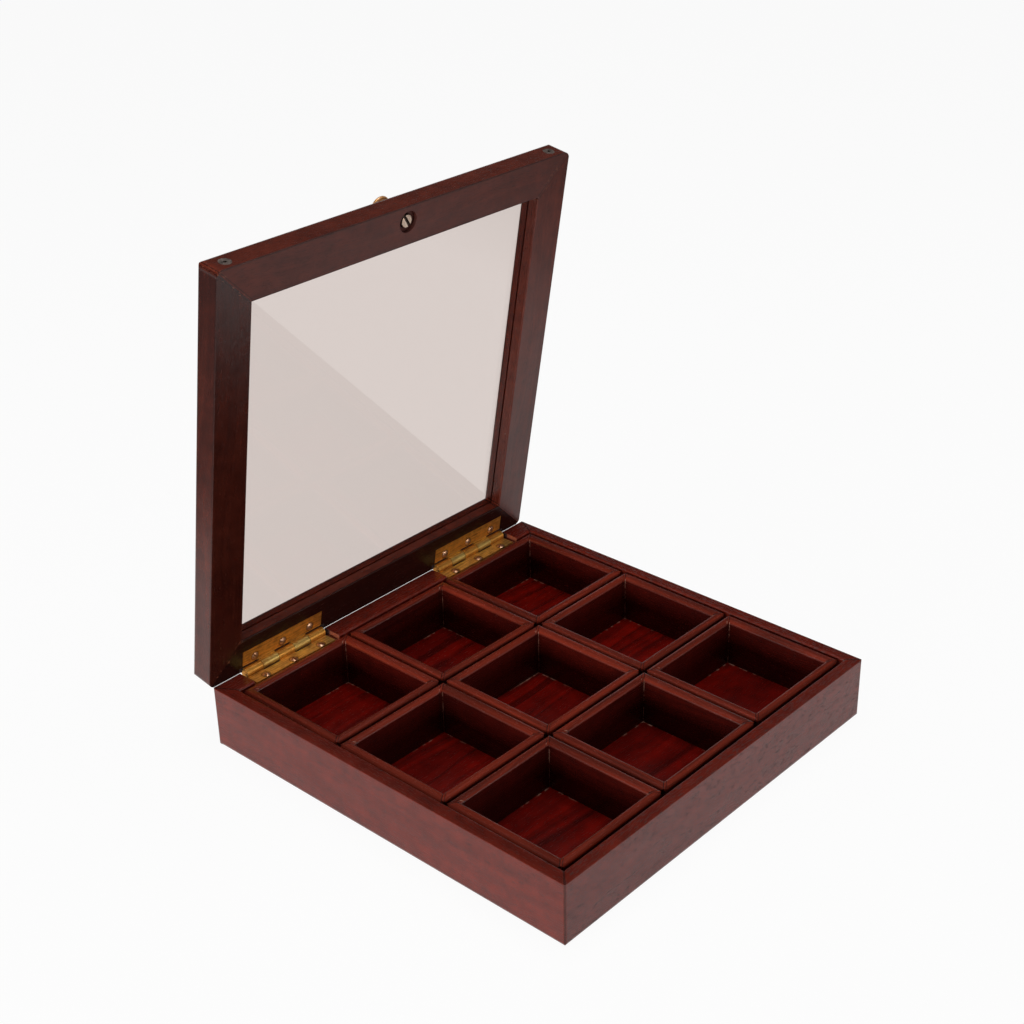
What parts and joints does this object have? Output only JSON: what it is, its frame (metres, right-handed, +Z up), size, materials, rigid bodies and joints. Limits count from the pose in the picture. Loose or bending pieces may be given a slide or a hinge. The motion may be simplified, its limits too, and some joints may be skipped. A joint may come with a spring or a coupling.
{
  "type": "tea bag organizer box",
  "caption": "Square wooden box for tea bags with a three by three grid of loose lift-out cups under a glazed lid on brass butt hinges, with a small brass knob.",
  "frame": {"origin": "middle of the box's flat underside", "axes": "+X along the hinges, +Y towards the hinge side, -Y towards the front, +Z up"},
  "size_m": [0.232, 0.2432, 0.2631],
  "materials": {
    "box_wood": "mahogany stain under satin lacquer",
    "lid_wood": "mahogany stain under satin lacquer",
    "cup_wood": "deep red mahogany stain under satin lacquer",
    "panel_wood": "stained thin board",
    "glass": "clear float glass",
    "brass": "aged brass with a brushed streak",
    "brass_screw": "dull brass",
    "steel_screw": "dull steel"
  },
  "bodies": {
    "box": {"base_left_wall": "box_wood", "base_right_wall": "box_wood", "base_front_wall": "box_wood", "base_back_wall": "box_wood", "base_bottom_panel": "panel_wood", "hinge_left_base_leaf": "brass", "hinge_right_base_leaf": "brass", "hinge_left_pin": "brass", "hinge_right_pin": "brass", "hinge_left_base_screws": "brass_screw", "hinge_right_base_screws": "brass_screw"},
    "lid": {"lid_front_rail": "lid_wood", "lid_back_rail": "lid_wood", "lid_left_stile": "lid_wood", "lid_right_stile": "lid_wood", "lid_glass": "glass", "hinge_left_lid_leaf": "brass", "hinge_right_lid_leaf": "brass", "hinge_left_lid_screws": "brass_screw", "hinge_right_lid_screws": "brass_screw", "lid_knob": "brass", "knob_screw": "brass_screw", "lid_corner_screws": "steel_screw"},
    "cup_front_left": {"cup_front_left_side_boards": "cup_wood", "cup_front_left_end_boards": "cup_wood", "cup_front_left_floor": "cup_wood"},
    "cup_front_middle": {"cup_front_middle_side_boards": "cup_wood", "cup_front_middle_end_boards": "cup_wood", "cup_front_middle_floor": "cup_wood"},
    "cup_front_right": {"cup_front_right_side_boards": "cup_wood", "cup_front_right_end_boards": "cup_wood", "cup_front_right_floor": "cup_wood"},
    "cup_middle_left": {"cup_middle_left_side_boards": "cup_wood", "cup_middle_left_end_boards": "cup_wood", "cup_middle_left_floor": "cup_wood"},
    "cup_centre": {"cup_centre_side_boards": "cup_wood", "cup_centre_end_boards": "cup_wood", "cup_centre_floor": "cup_wood"},
    "cup_middle_right": {"cup_middle_right_side_boards": "cup_wood", "cup_middle_right_end_boards": "cup_wood", "cup_middle_right_floor": "cup_wood"},
    "cup_back_left": {"cup_back_left_side_boards": "cup_wood", "cup_back_left_end_boards": "cup_wood", "cup_back_left_floor": "cup_wood"},
    "cup_back_middle": {"cup_back_middle_side_boards": "cup_wood", "cup_back_middle_end_boards": "cup_wood", "cup_back_middle_floor": "cup_wood"},
    "cup_back_right": {"cup_back_right_side_boards": "cup_wood", "cup_back_right_end_boards": "cup_wood", "cup_back_right_floor": "cup_wood"}
  },
  "joints": [
    {"name": "lid_hinge", "type": "hinge", "parent": "box", "child": "lid", "pos_m": [0, 0.11405, 0.0334], "axis": [-1, 0, 0], "range_deg": [-80, 40]},
    {"name": "cup_front_left_lift", "type": "slide", "parent": "box", "child": "cup_front_left", "axis": [0, 0, 1], "range_m": [0, 0.04]},
    {"name": "cup_front_middle_lift", "type": "slide", "parent": "box", "child": "cup_front_middle", "axis": [0, 0, 1], "range_m": [0, 0.04]},
    {"name": "cup_front_right_lift", "type": "slide", "parent": "box", "child": "cup_front_right", "axis": [0, 0, 1], "range_m": [0, 0.04]},
    {"name": "cup_middle_left_lift", "type": "slide", "parent": "box", "child": "cup_middle_left", "axis": [0, 0, 1], "range_m": [0, 0.04]},
    {"name": "cup_centre_lift", "type": "slide", "parent": "box", "child": "cup_centre", "axis": [0, 0, 1], "range_m": [0, 0.04]},
    {"name": "cup_middle_right_lift", "type": "slide", "parent": "box", "child": "cup_middle_right", "axis": [0, 0, 1], "range_m": [0, 0.04]},
    {"name": "cup_back_left_lift", "type": "slide", "parent": "box", "child": "cup_back_left", "axis": [0, 0, 1], "range_m": [0, 0.04]},
    {"name": "cup_back_middle_lift", "type": "slide", "parent": "box", "child": "cup_back_middle", "axis": [0, 0, 1], "range_m": [0, 0.04]},
    {"name": "cup_back_right_lift", "type": "slide", "parent": "box", "child": "cup_back_right", "axis": [0, 0, 1], "range_m": [0, 0.04]}
  ]
}
